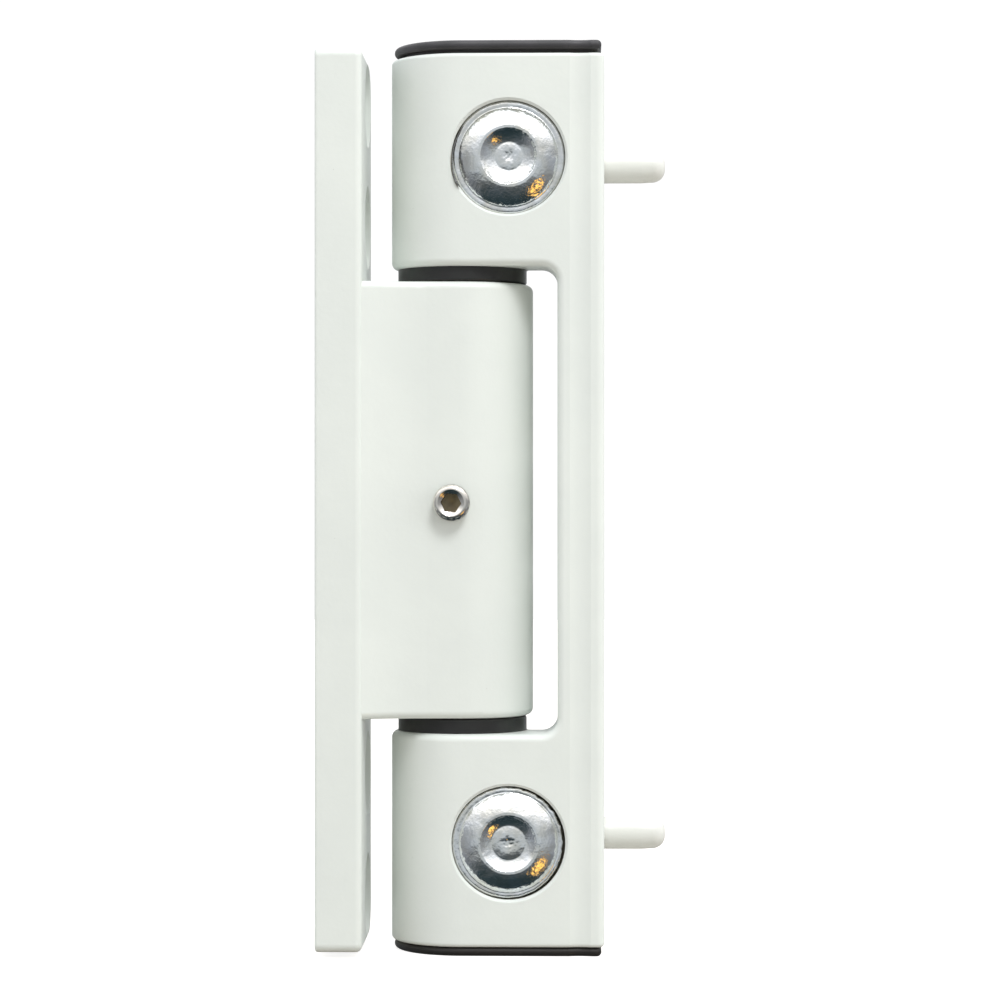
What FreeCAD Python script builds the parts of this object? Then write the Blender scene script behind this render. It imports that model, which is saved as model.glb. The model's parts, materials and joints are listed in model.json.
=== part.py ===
import FreeCAD, Part
import math
import os

# Three-knuckle door butt hinge, closed, in millimetres.
# Row frame: origin on the frame leaf's mounting face, midway between its screw holes,
# +X from the frame leaf towards the sash leaf, -Y towards the room, +Z up the hinge pin.
# Everything is drawn about the pin axis and moved into the row frame when it is written.

# ---- leaves ----
BARREL_R = 10.0            # outer radius of all three knuckles
LEAF_OUT = 20.0            # pin axis to either mounting face
LEAF_IN = 13.5             # pin axis to either leaf's inner face
LEAF_BACK = 8.5            # both leaves end this far behind the pin axis
PLATE_FRONT = -12.5        # front edge of the frame leaf, proud of its knuckle
PLATE_HALF = 62.5          # half height of the frame leaf
WEB_BACK = 0.0             # back of the webs that join knuckle and leaf
KNUCKLE_HALF = 30.35       # half height of the middle knuckle
LOBE_INNER = 32.5          # inner end of each sash knuckle
LOBE_OUTER = 62.0          # outer end of each sash knuckle
SWEEP_R = 21.3             # hollow between the frame leaf's edge and its knuckle
SWEEP_START = -4.6
SWEEP_END = -14.3
FLUTE_FROM, FLUTE_TO, FLUTE_DEPTH = 15.2, 18.1, 0.25
END_FILLET = 1.0           # softened ends of the knuckles, between the leaves
OUTER_END_FILLET = 0.55    # softened ends of the sash leaf, under the caps
SIDE_FILLET = 1.1          # long edges of the sash leaf
PLATE_FILLET = 0.9
MOUNT_FACE_FILLET = 0.4
BACK_CORNER_R = 5.0        # rounded back corners of the frame leaf
FRONT_CORNER_R = 1.2
WINDOW_CORNER_R = 2.2      # inside corners of the sash leaf's window

# ---- fixing holes ----
SCREW_HOLE_R = 3.0
COUNTERSINK_R = 5.9
FRAME_HOLE_Y = 1.1
FRAME_HOLE_Z = (56.0, 38.7)
SASH_HOLE_R = 2.6
SASH_COUNTERSINK_R = 4.9
SASH_HOLE_Y = -0.75
SASH_HOLE_Z = (24.0, 8.0)

# ---- pin and bushes ----
PIN_R = 4.0
PIN_HALF = 58.0
PIN_CHAMFER = 0.6
PIN_SLIP = 0.02            # the pin slides through the middle knuckle until it is clamped
RUNNING_FIT = 0.05         # radial clearance of the bushes on the pin
BUSH_R = 5.0               # bore of the sash knuckles
PRESS_GAP = 0.01           # drawn gap of a pressed piece
FLANGE_R = 9.1
FLANGE_GAP = 0.1
FLANGE_ROUND = 0.35
FLANGED_BUSH_END = 45.0
END_BUSH_FROM, END_BUSH_TO = 48.0, 57.5

# ---- clamp screw ----
SCREW_X, SCREW_Z = -1.2, -0.4
SCREW_R = 2.5              # M5
SCREW_FIT = 0.04
SCREW_OUT = -12.0          # where its outer face stands
SCREW_TIP = -5.0
SCREW_PITCH = 0.8
THREAD_DEPTH = 0.32
THREAD_FLANK = 0.35        # share of the pitch that each flank takes
SCREW_CHAMFER = 0.45
HEX_FLATS = 2.5
HEX_DEPTH = 2.6
HEX_LEAD_IN = 0.12         # how far the socket's lead-in cone stands past its corners
HEX_LEAD_DEPTH = 0.47
DRILL_POINT = 0.7
PAD_R = 1.5
PAD_END = -4.03

# ---- studs, pegs and caps ----
STUD_X, STUD_Z = 6.7, 47.55
COUNTERBORE_R, COUNTERBORE_FLOOR = 7.9, -6.5
COUNTERBORE_SOFT = 0.35    # chamfer that softens the counterbore's edge
STUD_HEAD_R, STUD_STEM_R, STUD_STEM_END = 7.55, 2.4, -3.6
STUD_BEVEL = 0.4
STEM_BORE_SPARE = 0.2      # the stem's hole is this much deeper than the stem
RIM_Y, CROWN_Y, CROWN_R = -8.7, -10.55, 5.1
LIP_R, LIP_DROP = 3.9, 0.2
DISH_R, DISH_Y = 1.75, -9.35
BOSS_R, BOSS_HEIGHT, BOSS_BEVEL, DIMPLE_R = 1.35, 0.36, 0.3, 0.7
CURVE_STEPS = 10           # points along each quarter ellipse of the stud
PEG_Y, PEG_R, PEG_TIP_R = 4.2, 2.3, 2.1
PEG_ROOT, PEG_ROOT_R = 15.2, 1.8
PEG_MOUTH_R = 2.45         # chamfered mouth of the peg's hole, a little wider than the peg
PEG_NECK_END = 20.1        # the thin root shows for this little before the peg's shoulder
PEG_TAPER_FROM, PEG_TIP, PEG_NOSE_R = 25.4, 28.8, 1.85
CAP_THICK, CAP_INSET, CAP_ROUND = 1.3, 0.4, 0.63
STEP_INSET, STEP_DEPTH, STEP_GAP = 1.7, 0.6, 0.1
CAP_PLUG_DEPTH = 3.2
CAP_LIFT = {"upper": 0.55, "lower": 0.0}   # the upper cap is not pushed fully home

PIN_AXIS = FreeCAD.Vector(LEAF_OUT, -FRAME_HOLE_Y, 0)
X_DIR, Y_DIR, Z_DIR = (FreeCAD.Vector(*d) for d in ((1, 0, 0), (0, 1, 0), (0, 0, 1)))
SIDES = {"upper": 1, "lower": -1}
TOUCH = 1e-6               # closer than this counts as touching
OVERCUT = 1.0              # cutting tools run this far past a face


def vec(x, y, z=0.0):
    return FreeCAD.Vector(x, y, z)


def line(start, end):
    return Part.LineSegment(vec(*start), vec(*end)).toShape()


def arc(start, middle, end):
    return Part.Arc(vec(*start), vec(*middle), vec(*end)).toShape()


def polar(radius, degrees, centre=(0.0, 0.0)):
    angle = math.radians(degrees)
    return (centre[0] + radius * math.cos(angle), centre[1] + radius * math.sin(angle))


def rod(radius, start, end):
    """A round bar between two points."""
    run = vec(*end) - vec(*start)
    return Part.makeCylinder(radius, run.Length, vec(*start), run)


def extrude_z(wire, low, high):
    face = Part.Face(wire)
    face.translate(vec(0, 0, low))
    return face.extrude(vec(0, 0, high - low))


def turned(points, centre, axis_dir, side_dir):
    """Revolve an outline of (radius, along) points, given about its own axis."""
    ring = [centre + side_dir * radius + axis_dir * along for radius, along in points]
    wire = Part.makePolygon(ring + ring[:1])
    return Part.Face(wire).revolve(centre, axis_dir, 360)


def edges_where(shape, test):
    """Edges whose bounding box passes the test."""
    return [edge for edge in shape.Edges if test(edge.BoundBox)]


def flat_at(shape, z, test=lambda box: True):
    """Edges that lie in the plane at height z and pass the test."""
    return [edge for edge in edges_where(shape, test)
            if max(abs(edge.BoundBox.ZMin - z), abs(edge.BoundBox.ZMax - z)) < TOUCH]


def quarter_ellipse(start_r, start_y, end_r, end_y, bulge_first):
    """Points from start to end; the curve leaves along Y first when bulge_first is true."""
    points = []
    for step in range(CURVE_STEPS + 1):
        turn = 0.5 * math.pi * step / CURVE_STEPS
        along_r, along_y = 1 - math.cos(turn), math.sin(turn)
        if not bulge_first:
            along_r, along_y = along_y, along_r
        points.append((start_r + (end_r - start_r) * along_r, start_y + (end_y - start_y) * along_y))
    return points


def mirrored_z(shape):
    return shape.mirror(vec(0, 0, 0), Z_DIR)


def countersunk(x_wall, x_head, y, z, hole_r, head_r):
    """A screw hole through a leaf, with its countersink on the inner face."""
    toward = 1 if x_head > x_wall else -1
    depth = head_r - hole_r
    through = rod(hole_r, (x_wall - toward, y, z), (x_head + toward, y, z))
    cone = Part.makeCone(hole_r, head_r, depth, vec(x_head - toward * depth, y, z), X_DIR * toward)
    mouth = rod(head_r, (x_head, y, z), (x_head + toward, y, z))
    return through.fuse([cone, mouth])


# ---------------------------------------------------------------- frame leaf
def frame_plate():
    plate = Part.makeBox(LEAF_OUT - LEAF_IN, LEAF_BACK - PLATE_FRONT, 2 * PLATE_HALF,
                         vec(-LEAF_OUT, PLATE_FRONT, -PLATE_HALF))
    for y, radius in ((PLATE_FRONT, FRONT_CORNER_R), (LEAF_BACK, BACK_CORNER_R)):
        across = edges_where(plate, lambda box: max(box.YLength, box.ZLength) < TOUCH)
        at_corner = [edge for edge in across if abs(edge.BoundBox.YMin - y) < 2 * TOUCH]
        plate = plate.makeFillet(radius, at_corner)
    inner = edges_where(plate, lambda box: box.XMin > -LEAF_IN - TOUCH)
    plate = plate.makeFillet(PLATE_FILLET, inner)
    outer = edges_where(plate, lambda box: box.XMax < -LEAF_OUT + TOUCH)
    return plate.makeFillet(MOUNT_FACE_FILLET, outer)


def sweep_y(x):
    return -BARREL_R - SWEEP_R + math.sqrt(SWEEP_R ** 2 - (x - SWEEP_START) ** 2)


def middle_knuckle():
    half_way = 0.5 * (SWEEP_START + SWEEP_END)
    edges = [
        line((SWEEP_END, WEB_BACK), (-BARREL_R, WEB_BACK)),
        arc((-BARREL_R, 0), polar(BARREL_R, 45), (0, -BARREL_R)),
        line((0, -BARREL_R), (SWEEP_START, -BARREL_R)),
        arc((SWEEP_START, -BARREL_R), (half_way, sweep_y(half_way)), (SWEEP_END, sweep_y(SWEEP_END))),
        line((SWEEP_END, sweep_y(SWEEP_END)), (SWEEP_END, WEB_BACK)),
    ]
    body = extrude_z(Part.Wire(edges), -KNUCKLE_HALF, KNUCKLE_HALF)
    for z in (-KNUCKLE_HALF, KNUCKLE_HALF):
        rims = flat_at(body, z, lambda box: box.XMax > SWEEP_END + TOUCH and box.YMin < WEB_BACK - TOUCH)
        body = body.makeFillet(END_FILLET, rims)
    return body


def frame_leaf():
    leaf = frame_plate().fuse(middle_knuckle()).removeSplitter()
    holes = [rod(PIN_R + PIN_SLIP, (0, 0, -PLATE_HALF), (0, 0, PLATE_HALF))]
    holes.append(rod(SCREW_R + SCREW_FIT, (SCREW_X, PLATE_FRONT, SCREW_Z), (SCREW_X, 0, SCREW_Z)))
    for z in FRAME_HOLE_Z:
        for side in (-1, 1):
            args = (FRAME_HOLE_Y, side * z, SCREW_HOLE_R, COUNTERSINK_R)
            holes.append(countersunk(-LEAF_OUT, -LEAF_IN, *args))
    return leaf.cut(holes)


# ---------------------------------------------------------------- sash leaf
def sash_outline():
    """Cross-section of the sash leaf: knuckle, web and leaf in one piece."""
    edge_in = LEAF_OUT - SIDE_FILLET
    back_in = LEAF_BACK - SIDE_FILLET
    front_in = -BARREL_R + SIDE_FILLET
    inner_in = LEAF_IN + SIDE_FILLET
    flute_mid = 0.5 * (FLUTE_FROM + FLUTE_TO)
    r = SIDE_FILLET
    return Part.Wire([
        line((0, -BARREL_R), (FLUTE_FROM, -BARREL_R)),
        arc((FLUTE_FROM, -BARREL_R), (flute_mid, FLUTE_DEPTH - BARREL_R), (FLUTE_TO, -BARREL_R)),
        line((FLUTE_TO, -BARREL_R), (edge_in, -BARREL_R)),
        arc((edge_in, -BARREL_R), polar(r, -45, (edge_in, front_in)), (LEAF_OUT, front_in)),
        line((LEAF_OUT, front_in), (LEAF_OUT, back_in)),
        arc((LEAF_OUT, back_in), polar(r, 45, (edge_in, back_in)), (edge_in, LEAF_BACK)),
        line((edge_in, LEAF_BACK), (inner_in, LEAF_BACK)),
        arc((inner_in, LEAF_BACK), polar(r, 135, (inner_in, back_in)), (LEAF_IN, back_in)),
        line((LEAF_IN, back_in), (LEAF_IN, WEB_BACK)),
        line((LEAF_IN, WEB_BACK), (BARREL_R, WEB_BACK)),
        arc((BARREL_R, 0), polar(BARREL_R, 135), (0, -BARREL_R)),
    ])


def sash_window():
    """The space that the middle knuckle turns in."""
    box = Part.makeBox(LEAF_IN + 2 * BARREL_R, 4 * BARREL_R, 2 * LOBE_INNER,
                       vec(-2 * BARREL_R, -2 * BARREL_R, -LOBE_INNER))
    corners = edges_where(box, lambda bounds: bounds.XMin > LEAF_IN - TOUCH and bounds.YLength > BARREL_R)
    return box.makeFillet(WINDOW_CORNER_R, corners)


def window_edges(body):
    """Edges round the window, apart from those at the back of the web."""
    def wanted(box):
        inside = max(abs(box.ZMin), abs(box.ZMax)) < LOBE_INNER + TOUCH
        return inside and box.XMax < LEAF_IN + TOUCH and box.YMin < WEB_BACK - TOUCH
    return edges_where(body, wanted)


def peg_hole(z):
    """A blind hole for the peg's root, and the chamfer round its mouth."""
    depth = PEG_MOUTH_R - PEG_ROOT_R
    bore = rod(PEG_ROOT_R + PRESS_GAP, (PEG_ROOT, PEG_Y, z), (LEAF_OUT + OVERCUT, PEG_Y, z))
    chamfer = Part.makeCone(PEG_ROOT_R, PEG_MOUTH_R + OVERCUT, depth + OVERCUT,
                            vec(LEAF_OUT - depth, PEG_Y, z), X_DIR)
    return [bore, chamfer]


def stud_hole(z):
    """The counterbore for a stud's head, its softened edge, and the hole for the stem."""
    head = rod(COUNTERBORE_R, (STUD_X, -2 * BARREL_R, z), (STUD_X, COUNTERBORE_FLOOR, z))
    edge = Part.makeCone(COUNTERBORE_R + COUNTERBORE_SOFT + OVERCUT, COUNTERBORE_R, COUNTERBORE_SOFT + OVERCUT,
                         vec(STUD_X, -BARREL_R - OVERCUT, z), Y_DIR)
    stem = rod(STUD_STEM_R + PRESS_GAP, (STUD_X, COUNTERBORE_FLOOR - OVERCUT, z),
               (STUD_X, STUD_STEM_END + STEM_BORE_SPARE, z))
    return [head, edge, stem]


def sash_leaf():
    body = extrude_z(sash_outline(), -LOBE_OUTER, LOBE_OUTER)
    body = body.cut(sash_window())
    body = body.makeFillet(END_FILLET, window_edges(body))
    for z in (-LOBE_OUTER, LOBE_OUTER):
        body = body.makeFillet(OUTER_END_FILLET, flat_at(body, z))
    holes = [rod(BUSH_R, (0, 0, -2 * LOBE_OUTER), (0, 0, 2 * LOBE_OUTER))]
    seat = sash_outline().makeOffset2D(STEP_GAP - STEP_INSET)
    for side in (-1, 1):
        holes += stud_hole(side * STUD_Z)
        holes += peg_hole(side * STUD_Z)
        low, high = sorted((side * (LOBE_OUTER - STEP_DEPTH), side * (LOBE_OUTER + OVERCUT)))
        holes.append(extrude_z(seat, low, high))
        for z in SASH_HOLE_Z:
            args = (SASH_HOLE_Y, side * z, SASH_HOLE_R, SASH_COUNTERSINK_R)
            holes.append(countersunk(LEAF_OUT, LEAF_IN, *args))
    return body.cut(holes)


# ---------------------------------------------------------------- pin, bushes
def hinge_pin():
    outline = [(0, -PIN_HALF), (PIN_R - PIN_CHAMFER, -PIN_HALF), (PIN_R, PIN_CHAMFER - PIN_HALF),
               (PIN_R, PIN_HALF - PIN_CHAMFER), (PIN_R - PIN_CHAMFER, PIN_HALF), (0, PIN_HALF)]
    return turned(outline, vec(0, 0, 0), Z_DIR, X_DIR)


def flanged_bush():
    low = KNUCKLE_HALF + FLANGE_GAP
    flange = rod(FLANGE_R, (0, 0, low), (0, 0, LOBE_INNER))
    flange = flange.makeFillet(FLANGE_ROUND, flat_at(flange, low))
    sleeve = rod(BUSH_R - PRESS_GAP, (0, 0, low + FLANGE_ROUND), (0, 0, FLANGED_BUSH_END))
    bore = rod(PIN_R + RUNNING_FIT, (0, 0, 0), (0, 0, LOBE_OUTER))
    return flange.fuse(sleeve).removeSplitter().cut(bore)


def end_bush():
    sleeve = rod(BUSH_R - PRESS_GAP, (0, 0, END_BUSH_FROM), (0, 0, END_BUSH_TO))
    return sleeve.cut(rod(PIN_R + RUNNING_FIT, (0, 0, 0), (0, 0, LOBE_OUTER)))


# ---------------------------------------------------------------- clamp screw
def grub_screw():
    outline = [(0, SCREW_OUT), (SCREW_R - SCREW_CHAMFER, SCREW_OUT), (SCREW_R, SCREW_OUT + SCREW_CHAMFER)]
    y = SCREW_OUT + SCREW_CHAMFER
    crest = 0.5 - THREAD_FLANK
    while y + SCREW_PITCH < SCREW_TIP - SCREW_CHAMFER:
        outline.append((SCREW_R, y + crest * SCREW_PITCH))
        outline.append((SCREW_R - THREAD_DEPTH, y + 0.5 * SCREW_PITCH))
        outline.append((SCREW_R, y + (1 - crest) * SCREW_PITCH))
        y += SCREW_PITCH
    outline += [(SCREW_R, SCREW_TIP - SCREW_CHAMFER), (SCREW_R - SCREW_CHAMFER, SCREW_TIP), (0, SCREW_TIP)]
    body = turned(outline, vec(SCREW_X, 0, SCREW_Z), Y_DIR, X_DIR)
    return body.cut(hex_socket())


def hex_socket():
    """The cuts of the key socket: hexagon, drilled point and lead-in cone."""
    corner_r = HEX_FLATS / math.sqrt(3)
    corners = [polar(corner_r, 60 * k, (SCREW_X, SCREW_Z)) for k in range(7)]
    ring = [vec(x, SCREW_OUT - OVERCUT, z) for x, z in corners]
    hexagon = Part.Face(Part.makePolygon(ring)).extrude(vec(0, HEX_DEPTH + OVERCUT, 0))
    point = Part.makeCone(HEX_FLATS / 2, 0, DRILL_POINT, vec(SCREW_X, SCREW_OUT + HEX_DEPTH, SCREW_Z), Y_DIR)
    mouth_r = corner_r + HEX_LEAD_IN
    lead_in = Part.makeCone(mouth_r, mouth_r - HEX_LEAD_DEPTH, HEX_LEAD_DEPTH,
                            vec(SCREW_X, SCREW_OUT, SCREW_Z), Y_DIR)
    return [hexagon, point, lead_in]


def pressure_pad():
    return rod(PAD_R, (SCREW_X, SCREW_TIP, SCREW_Z), (SCREW_X, PAD_END, SCREW_Z))


# ---------------------------------------------------------------- studs, pegs
def dished_stud():
    """Outline of (radius, Y): stem, flat underside, rolled rim, crown, dish and centre boss."""
    outline = [(0, STUD_STEM_END), (STUD_STEM_R - STUD_BEVEL, STUD_STEM_END),
               (STUD_STEM_R, STUD_STEM_END - STUD_BEVEL), (STUD_STEM_R, COUNTERBORE_FLOOR),
               (STUD_HEAD_R - STUD_BEVEL, COUNTERBORE_FLOOR), (STUD_HEAD_R, COUNTERBORE_FLOOR - STUD_BEVEL)]
    outline += quarter_ellipse(STUD_HEAD_R, RIM_Y, CROWN_R, CROWN_Y, bulge_first=True)
    outline += quarter_ellipse(LIP_R, CROWN_Y + LIP_DROP, DISH_R, DISH_Y, bulge_first=True)
    outline += [(BOSS_R, DISH_Y - BOSS_HEIGHT + BOSS_BEVEL / 3), (BOSS_R - BOSS_BEVEL, DISH_Y - BOSS_HEIGHT),
                (DIMPLE_R, DISH_Y - BOSS_HEIGHT), (0, DISH_Y)]
    return turned(outline, vec(STUD_X, 0, STUD_Z), Y_DIR, X_DIR)


def locating_peg():
    """A shouldered peg: root pressed in the leaf, straight stretch, tapered nose."""
    root = rod(PEG_ROOT_R, (PEG_ROOT, PEG_Y, STUD_Z), (PEG_NECK_END, PEG_Y, STUD_Z))
    straight = rod(PEG_R, (PEG_NECK_END, PEG_Y, STUD_Z), (PEG_TAPER_FROM, PEG_Y, STUD_Z))
    nose = Part.makeCone(PEG_R, PEG_TIP_R, PEG_TIP - PEG_TAPER_FROM,
                         vec(PEG_TAPER_FROM, PEG_Y, STUD_Z), X_DIR)
    nose = nose.makeFillet(PEG_NOSE_R, edges_where(nose, lambda box: box.XMin > PEG_TIP - TOUCH))
    return root.fuse([straight, nose]).removeSplitter()


# ---------------------------------------------------------------- caps
def end_cap(lift):
    cover = extrude_z(sash_outline().makeOffset2D(-CAP_INSET), LOBE_OUTER, LOBE_OUTER + CAP_THICK)
    for z in (LOBE_OUTER, LOBE_OUTER + CAP_THICK):
        cover = cover.makeFillet(CAP_ROUND, flat_at(cover, z))
    step = extrude_z(sash_outline().makeOffset2D(-STEP_INSET),
                     LOBE_OUTER - STEP_DEPTH, LOBE_OUTER + CAP_ROUND)
    plug = rod(BUSH_R - PRESS_GAP, (0, 0, LOBE_OUTER - CAP_PLUG_DEPTH), (0, 0, LOBE_OUTER))
    cap = cover.fuse([step, plug]).removeSplitter()
    cap.translate(vec(0, 0, lift))
    return cap


# ---------------------------------------------------------------- write the nodes
def write(shape, node):
    placed = shape.copy()
    placed.translate(PIN_AXIS)
    if len(placed.Solids) != 1 or not placed.isValid():
        raise ValueError(f"{node} is not one valid solid")
    placed.Solids[0].exportStep(f"parts/{node}.step")
    print(f"{node}: {placed.Volume:.1f} mm3")


def main():
    os.makedirs("parts", exist_ok=True)
    write(frame_leaf(), "frame_leaf")
    write(hinge_pin(), "hinge_pin")
    write(grub_screw(), "grub_screw")
    write(pressure_pad(), "pressure_pad")
    write(sash_leaf(), "sash_leaf")
    pairs = {"flanged_bush": flanged_bush(), "end_bush": end_bush(),
             "dished_stud": dished_stud(), "locating_peg": locating_peg()}
    for end, side in SIDES.items():
        for node, shape in pairs.items():
            write(shape if side > 0 else mirrored_z(shape), f"{end}_{node}")
        cap = end_cap(CAP_LIFT[end])
        write(cap if side > 0 else mirrored_z(cap), f"{end}_end_cap")


main()
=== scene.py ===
# %% [markdown]
# A three-knuckle butt hinge for a door. The leaves are aluminium extrusions in white powder coat, the pin
# and studs are steel, and the caps and bushes are black plastic. The finished design comes in as a fixed
# frame, and every place on the hinge is read from it. What is left to make is how each surface looks, so
# apart from the camera and the light, the only sizes set here are those of details that the design leaves
# plain.

# %% load the frame
import json
import math

import bmesh
import bpy
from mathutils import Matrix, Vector, noise as noise_field


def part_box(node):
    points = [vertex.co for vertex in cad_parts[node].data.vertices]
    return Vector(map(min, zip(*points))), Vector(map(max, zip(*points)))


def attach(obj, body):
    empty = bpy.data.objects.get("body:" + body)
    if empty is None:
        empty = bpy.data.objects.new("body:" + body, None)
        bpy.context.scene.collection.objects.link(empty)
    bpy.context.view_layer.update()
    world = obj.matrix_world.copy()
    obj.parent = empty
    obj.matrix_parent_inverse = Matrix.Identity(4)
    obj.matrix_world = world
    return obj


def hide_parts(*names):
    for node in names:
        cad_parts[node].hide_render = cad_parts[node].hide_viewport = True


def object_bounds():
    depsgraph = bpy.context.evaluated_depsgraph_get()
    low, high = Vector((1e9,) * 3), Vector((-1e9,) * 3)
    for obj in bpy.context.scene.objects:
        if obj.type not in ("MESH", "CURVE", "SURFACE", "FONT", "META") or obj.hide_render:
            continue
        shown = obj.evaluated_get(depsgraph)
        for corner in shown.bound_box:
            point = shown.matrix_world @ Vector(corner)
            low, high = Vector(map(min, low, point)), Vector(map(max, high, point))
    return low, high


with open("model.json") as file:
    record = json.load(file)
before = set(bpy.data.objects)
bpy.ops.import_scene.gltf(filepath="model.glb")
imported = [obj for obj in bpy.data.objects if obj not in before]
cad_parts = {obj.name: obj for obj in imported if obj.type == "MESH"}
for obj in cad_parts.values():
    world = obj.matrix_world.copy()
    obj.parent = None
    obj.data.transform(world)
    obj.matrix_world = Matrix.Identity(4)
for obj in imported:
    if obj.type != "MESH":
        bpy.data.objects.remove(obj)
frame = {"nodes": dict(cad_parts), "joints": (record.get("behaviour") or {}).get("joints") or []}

MM = 0.001
ENDS = ("upper", "lower")
design_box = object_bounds()
nodes = frame["nodes"]
joints = {joint["name"]: joint for joint in frame["joints"]}
print("nodes:", ", ".join(sorted(nodes)))
print("design box:", [tuple(round(value / MM, 2) for value in corner) for corner in design_box])

# %% [markdown]
# Two places steer the rest: the pin, which the hinge swings about, and the axis of the clamp screw. Both
# are joints of the design, so they are read from its joints and not measured again.

# %% the pin and the clamp screw's axis
pin = Vector(joints["door_swing"]["pos_m"])
screw_axis = Vector(joints["clamp_turn"]["pos_m"])
print("pin axis:", [round(value / MM, 2) for value in pin])

# %% [markdown]
# The camera stands level with the middle of the hinge, a little to the right of the pin, and looks slightly
# left. A long lens keeps the tall leaf from leaning, and the distance is what lets the inner face of the
# frame leaf show as a thin sliver.

# %% camera
EYE_DISTANCE = 440.0 * MM
EYE_ASIDE = 15.94 * MM
AIM_ASIDE = 5.55 * MM
BARREL_FRONT = 10.0 * MM
LENS_MM, SENSOR_MM = 111.8, 36.0

camera = bpy.data.objects.new("camera", bpy.data.cameras.new("camera"))
bpy.context.scene.collection.objects.link(camera)
camera.data.lens = LENS_MM
camera.data.sensor_width = SENSOR_MM
camera.location = pin + Vector((EYE_ASIDE, -EYE_DISTANCE, 0))
aim = pin + Vector((AIM_ASIDE, -BARREL_FRONT, 0))
camera.rotation_euler = (aim - camera.location).to_track_quat("-Z", "Y").to_euler()
bpy.context.scene.camera = camera
print("camera at", [round(value / MM, 1) for value in camera.location], "mm")

# %% [markdown]
# Node trees read badly when every socket is set by hand, so small helpers do it. One fills a socket with a
# number, a colour or another socket. Others add a sum, a blend, a soft step, a noise or a piece of vector
# maths.

# %% helpers for node trees
def fill(tree, socket, given):
    if isinstance(given, bpy.types.NodeSocket):
        tree.links.new(given, socket)
    else:
        socket.default_value = given


def calculate(tree, operation, first, second=0.0, clamp=False):
    node = tree.nodes.new("ShaderNodeMath")
    node.operation = operation
    node.use_clamp = clamp
    fill(tree, node.inputs[0], first)
    fill(tree, node.inputs[1], second)
    return node.outputs[0]


def calculate_vector(tree, operation, first, second=(0, 0, 0)):
    """Lengths and dot products come out of the Value socket, and vectors out of the Vector socket."""
    node = tree.nodes.new("ShaderNodeVectorMath")
    node.operation = operation
    fill(tree, node.inputs[0], first)
    fill(tree, node.inputs[1], second)
    return node.outputs["Value" if operation in ("LENGTH", "DOT_PRODUCT") else "Vector"]


def blend_colours(tree, share, first, second):
    node = tree.nodes.new("ShaderNodeMix")
    node.data_type = "RGBA"
    fill(tree, node.inputs[0], share)
    fill(tree, node.inputs[6], first)
    fill(tree, node.inputs[7], second)
    return node.outputs[2]


def spread(tree, value, low, high, new_low=0.0, new_high=1.0):
    """Stretch low..high to new_low..new_high with soft ends."""
    node = tree.nodes.new("ShaderNodeMapRange")
    node.interpolation_type = "SMOOTHSTEP"
    for index, given in enumerate((value, low, high, new_low, new_high)):
        fill(tree, node.inputs[index], given)
    return node.outputs[0]


def noise(tree, vector, scale, detail=2.0):
    node = tree.nodes.new("ShaderNodeTexNoise")
    node.inputs["Detail"].default_value = detail
    fill(tree, node.inputs["Scale"], scale)
    tree.links.new(vector, node.inputs["Vector"])
    return node.outputs[0]


def object_place(tree):
    return tree.nodes.new("ShaderNodeTexCoord").outputs["Object"]


print("helpers for node trees:", ", ".join(helper.__name__ for helper in (
    fill, calculate, calculate_vector, blend_colours, spread, noise, object_place)))

# %% [markdown]
# Wear, grain and dirt turn up on more than one finish, so each is a node group with named inputs. A group
# is built once and used in every material that shows the effect, with that material's own values.

# %% start a group
FLOAT, COLOUR, VECTOR = "NodeSocketFloat", "NodeSocketColor", "NodeSocketVector"


def new_group(title, inputs, outputs):
    group = bpy.data.node_groups.new(title, "ShaderNodeTree")
    for name, kind, value in inputs:
        socket = group.interface.new_socket(name, in_out="INPUT", socket_type=kind)
        socket.default_value = value
    for name, kind in outputs:
        group.interface.new_socket(name, in_out="OUTPUT", socket_type=kind)
    return group, group.nodes.new("NodeGroupInput"), group.nodes.new("NodeGroupOutput")


print("groups take sockets of the kinds", FLOAT, COLOUR, VECTOR)

# %% [markdown]
# Powder coat is sprayed on dry and melted in an oven. The melt never levels completely, which leaves the
# soft orange-peel ripple that tells it from wet paint. Two noises make it, one a third of the size of the
# other. The ripple goes to a bump and not to the mesh, because it is only a few hundredths of a millimetre
# deep.

# %% orange peel group
FINER = 3.0

orange_peel, entry, leave = new_group(
    "Orange peel", [("Ripple mm", FLOAT, 1.5), ("Fine share", FLOAT, 0.3)], [("Height", FLOAT)])
place = object_place(orange_peel)
scale = calculate(orange_peel, "DIVIDE", 1 / MM, entry.outputs["Ripple mm"])
broad = noise(orange_peel, place, scale)
fine = noise(orange_peel, place, calculate(orange_peel, "MULTIPLY", scale, FINER))
fine = calculate(orange_peel, "MULTIPLY", fine, entry.outputs["Fine share"])
fill(orange_peel, leave.inputs["Height"], calculate(orange_peel, "ADD", broad, fine))
print("made", orange_peel.name)

# %% [markdown]
# No coat or casting is one even colour. A slow drift between two close tones, a centimetre or so across on
# the leaves, is what stops a big pale face from looking like plastic film.

# %% tone drift group
tone_drift, entry, leave = new_group(
    "Tone drift",
    [("Light", COLOUR, (0.8, 0.8, 0.8, 1)), ("Shade", COLOUR, (0.7, 0.7, 0.7, 1)), ("Patch mm", FLOAT, 12.0)],
    [("Colour", COLOUR), ("Drift", FLOAT)])
scale = calculate(tone_drift, "DIVIDE", 1 / MM, entry.outputs["Patch mm"])
cloud = noise(tone_drift, object_place(tone_drift), scale, detail=4.0)
cloud = spread(tone_drift, cloud, 0.3, 0.7)
mixed = blend_colours(tone_drift, cloud, entry.outputs["Shade"], entry.outputs["Light"])
fill(tone_drift, leave.inputs["Colour"], mixed)
fill(tone_drift, leave.inputs["Drift"], cloud)
print("made", tone_drift.name)

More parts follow.
